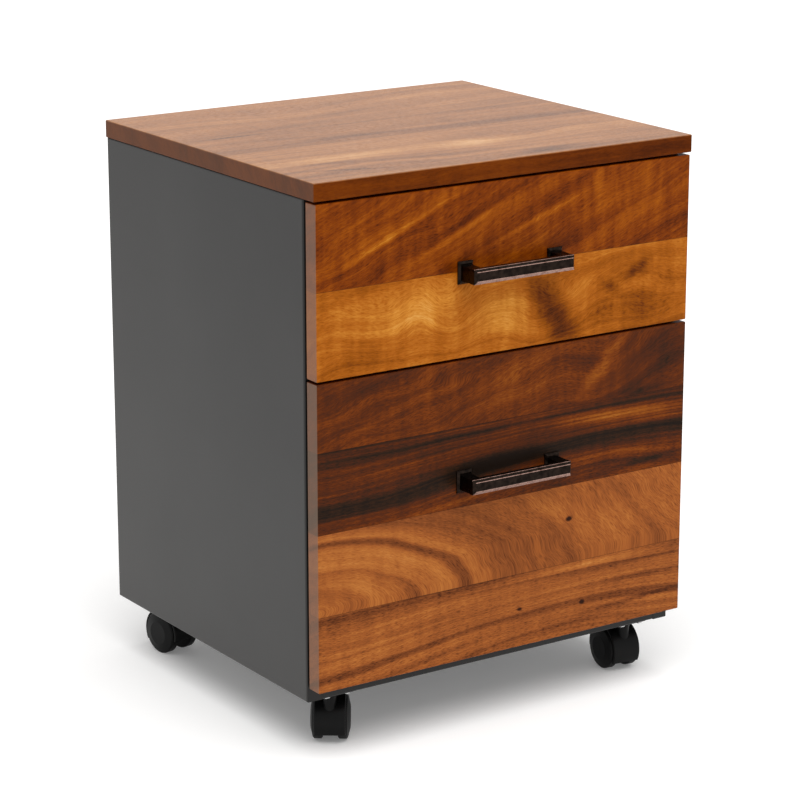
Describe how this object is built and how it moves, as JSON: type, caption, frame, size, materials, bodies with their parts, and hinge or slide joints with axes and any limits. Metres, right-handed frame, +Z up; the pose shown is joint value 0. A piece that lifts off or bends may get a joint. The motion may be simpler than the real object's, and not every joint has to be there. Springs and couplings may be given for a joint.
{
  "type": "mobile filing cabinet",
  "caption": "Drawer pedestal on swivel casters: steel case, wood top and drawer fronts, bar pulls, a box drawer over a hanging-file drawer on ball-bearing slides.",
  "frame": {"origin": "on the floor, under the middle of the whole part's box", "axes": "+Z up, +X to the right of someone facing the drawers, +Y from the drawer fronts to the back; the drawers open towards -Y"},
  "size_m": [0.4, 0.381, 0.5128],
  "materials": {
    "acacia_wood": "oiled, satin lacquer",
    "charcoal_powder_coat": "satin powder coat",
    "black_drawer_steel": "satin powder coat",
    "zinc_plate": "bright zinc plate",
    "bright_steel": "zinc-plated or ground steel",
    "rubbed_bronze": "dark bronze, rubbed to copper on the edges",
    "black_nylon": "moulded, satin",
    "wheel_black": "moulded, satin",
    "bumper_rubber": "matt"
  },
  "bodies": {
    "cabinet": {"left_side_panel": "charcoal_powder_coat", "right_side_panel": "charcoal_powder_coat", "back_panel": "charcoal_powder_coat", "base_pan": "charcoal_powder_coat", "top_front_rail": "charcoal_powder_coat", "wood_top": "acacia_wood", "top_screws": "bright_steel", "left_runner_uprights": "charcoal_powder_coat", "right_runner_uprights": "charcoal_powder_coat", "front_bumpers": "bumper_rubber", "caster_plates": "black_drawer_steel", "caster_king_pins": "bright_steel", "caster_plate_screws": "bright_steel", "upper_left_slide_outer": "zinc_plate", "upper_right_slide_outer": "zinc_plate", "lower_left_slide_outer": "zinc_plate", "lower_right_slide_outer": "zinc_plate"},
    "upper_drawer": {"upper_drawer_front": "acacia_wood", "upper_drawer_tray": "black_drawer_steel", "upper_tray_ends": "black_drawer_steel", "upper_pull": "rubbed_bronze", "upper_pull_screws": "bright_steel", "upper_front_screws": "bright_steel", "upper_left_slide_inner": "zinc_plate", "upper_right_slide_inner": "zinc_plate"},
    "upper_slide_middles": {"upper_left_slide_middle": "zinc_plate", "upper_right_slide_middle": "zinc_plate"},
    "upper_outer_cages": {"upper_outer_ball_cages": "bright_steel"},
    "upper_inner_cages": {"upper_inner_ball_cages": "bright_steel"},
    "lower_drawer": {"lower_drawer_front": "acacia_wood", "lower_drawer_tray": "black_drawer_steel", "lower_tray_ends": "black_drawer_steel", "lower_pull": "rubbed_bronze", "lower_pull_screws": "bright_steel", "lower_front_screws": "bright_steel", "lower_left_slide_inner": "zinc_plate", "lower_right_slide_inner": "zinc_plate", "left_file_rail": "zinc_plate", "right_file_rail": "zinc_plate"},
    "lower_slide_middles": {"lower_left_slide_middle": "zinc_plate", "lower_right_slide_middle": "zinc_plate"},
    "lower_outer_cages": {"lower_outer_ball_cages": "bright_steel"},
    "lower_inner_cages": {"lower_inner_ball_cages": "bright_steel"},
    "front_left_caster": {"front_left_caster_hood": "black_nylon", "front_left_caster_axle": "bright_steel"},
    "front_left_left_wheel": {"front_left_caster_left_wheel": "wheel_black"},
    "front_left_right_wheel": {"front_left_caster_right_wheel": "wheel_black"},
    "front_right_caster": {"front_right_caster_hood": "black_nylon", "front_right_caster_axle": "bright_steel"},
    "front_right_left_wheel": {"front_right_caster_left_wheel": "wheel_black"},
    "front_right_right_wheel": {"front_right_caster_right_wheel": "wheel_black"},
    "rear_left_caster": {"rear_left_caster_hood": "black_nylon", "rear_left_caster_axle": "bright_steel"},
    "rear_left_left_wheel": {"rear_left_caster_left_wheel": "wheel_black"},
    "rear_left_right_wheel": {"rear_left_caster_right_wheel": "wheel_black"},
    "rear_right_caster": {"rear_right_caster_hood": "black_nylon", "rear_right_caster_axle": "bright_steel"},
    "rear_right_left_wheel": {"rear_right_caster_left_wheel": "wheel_black"},
    "rear_right_right_wheel": {"rear_right_caster_right_wheel": "wheel_black"}
  },
  "joints": [
    {"name": "upper_drawer_slide", "type": "slide", "parent": "cabinet", "child": "upper_drawer", "axis": [0, -1, 0], "range_m": [0, 0.29]},
    {"name": "upper_slide_middles_slide", "type": "slide", "parent": "cabinet", "child": "upper_slide_middles", "axis": [0, -1, 0], "range_m": [0, 0.1455]},
    {"name": "upper_outer_cages_slide", "type": "slide", "parent": "cabinet", "child": "upper_outer_cages", "axis": [0, -1, 0], "range_m": [0, 0.073]},
    {"name": "upper_inner_cages_slide", "type": "slide", "parent": "cabinet", "child": "upper_inner_cages", "axis": [0, -1, 0], "range_m": [0, 0.218]},
    {"name": "lower_drawer_slide", "type": "slide", "parent": "cabinet", "child": "lower_drawer", "axis": [0, -1, 0], "range_m": [0, 0.29]},
    {"name": "lower_slide_middles_slide", "type": "slide", "parent": "cabinet", "child": "lower_slide_middles", "axis": [0, -1, 0], "range_m": [0, 0.1455]},
    {"name": "lower_outer_cages_slide", "type": "slide", "parent": "cabinet", "child": "lower_outer_cages", "axis": [0, -1, 0], "range_m": [0, 0.073]},
    {"name": "lower_inner_cages_slide", "type": "slide", "parent": "cabinet", "child": "lower_inner_cages", "axis": [0, -1, 0], "range_m": [0, 0.218]},
    {"name": "front_left_swivel", "type": "hinge", "parent": "cabinet", "child": "front_left_caster", "pos_m": [-0.16325, -0.1285, 0.038], "axis": [0, 0, 1], "continuous": true},
    {"name": "front_left_left_roll", "type": "hinge", "parent": "front_left_caster", "child": "front_left_left_wheel", "pos_m": [-0.15502, -0.11717, 0.02], "axis": [-0.809, 0.5878, 0], "continuous": true},
    {"name": "front_left_right_roll", "type": "hinge", "parent": "front_left_caster", "child": "front_left_right_wheel", "pos_m": [-0.15502, -0.11717, 0.02], "axis": [-0.809, 0.5878, 0], "continuous": true},
    {"name": "front_right_swivel", "type": "hinge", "parent": "cabinet", "child": "front_right_caster", "pos_m": [0.16325, -0.1285, 0.038], "axis": [0, 0, 1], "continuous": true},
    {"name": "front_right_left_roll", "type": "hinge", "parent": "front_right_caster", "child": "front_right_left_wheel", "pos_m": [0.16471, -0.11458, 0.02], "axis": [-0.9945, 0.1045, 0], "continuous": true},
    {"name": "front_right_right_roll", "type": "hinge", "parent": "front_right_caster", "child": "front_right_right_wheel", "pos_m": [0.16471, -0.11458, 0.02], "axis": [-0.9945, 0.1045, 0], "continuous": true},
    {"name": "rear_left_swivel", "type": "hinge", "parent": "cabinet", "child": "rear_left_caster", "pos_m": [-0.16325, 0.16975, 0.038], "axis": [0, 0, 1], "continuous": true},
    {"name": "rear_left_left_roll", "type": "hinge", "parent": "rear_left_caster", "child": "rear_left_left_wheel", "pos_m": [-0.16106, 0.15592, 0.02], "axis": [0.9877, 0.1564, 0], "continuous": true},
    {"name": "rear_left_right_roll", "type": "hinge", "parent": "rear_left_caster", "child": "rear_left_right_wheel", "pos_m": [-0.16106, 0.15592, 0.02], "axis": [0.9877, 0.1564, 0], "continuous": true},
    {"name": "rear_right_swivel", "type": "hinge", "parent": "cabinet", "child": "rear_right_caster", "pos_m": [0.16325, 0.16975, 0.038], "axis": [0, 0, 1], "continuous": true},
    {"name": "rear_right_left_roll", "type": "hinge", "parent": "rear_right_caster", "child": "rear_right_left_wheel", "pos_m": [0.15253, 0.16075, 0.02], "axis": [0.6428, -0.766, 0], "continuous": true},
    {"name": "rear_right_right_roll", "type": "hinge", "parent": "rear_right_caster", "child": "rear_right_right_wheel", "pos_m": [0.15253, 0.16075, 0.02], "axis": [0.6428, -0.766, 0], "continuous": true}
  ],
  "couplings": [
    {"joint": "upper_slide_middles_slide", "follows": "upper_drawer_slide", "ratio": 0.5},
    {"joint": "upper_outer_cages_slide", "follows": "upper_drawer_slide", "ratio": 0.25},
    {"joint": "upper_inner_cages_slide", "follows": "upper_drawer_slide", "ratio": 0.75},
    {"joint": "lower_slide_middles_slide", "follows": "lower_drawer_slide", "ratio": 0.5},
    {"joint": "lower_outer_cages_slide", "follows": "lower_drawer_slide", "ratio": 0.25},
    {"joint": "lower_inner_cages_slide", "follows": "lower_drawer_slide", "ratio": 0.75}
  ]
}
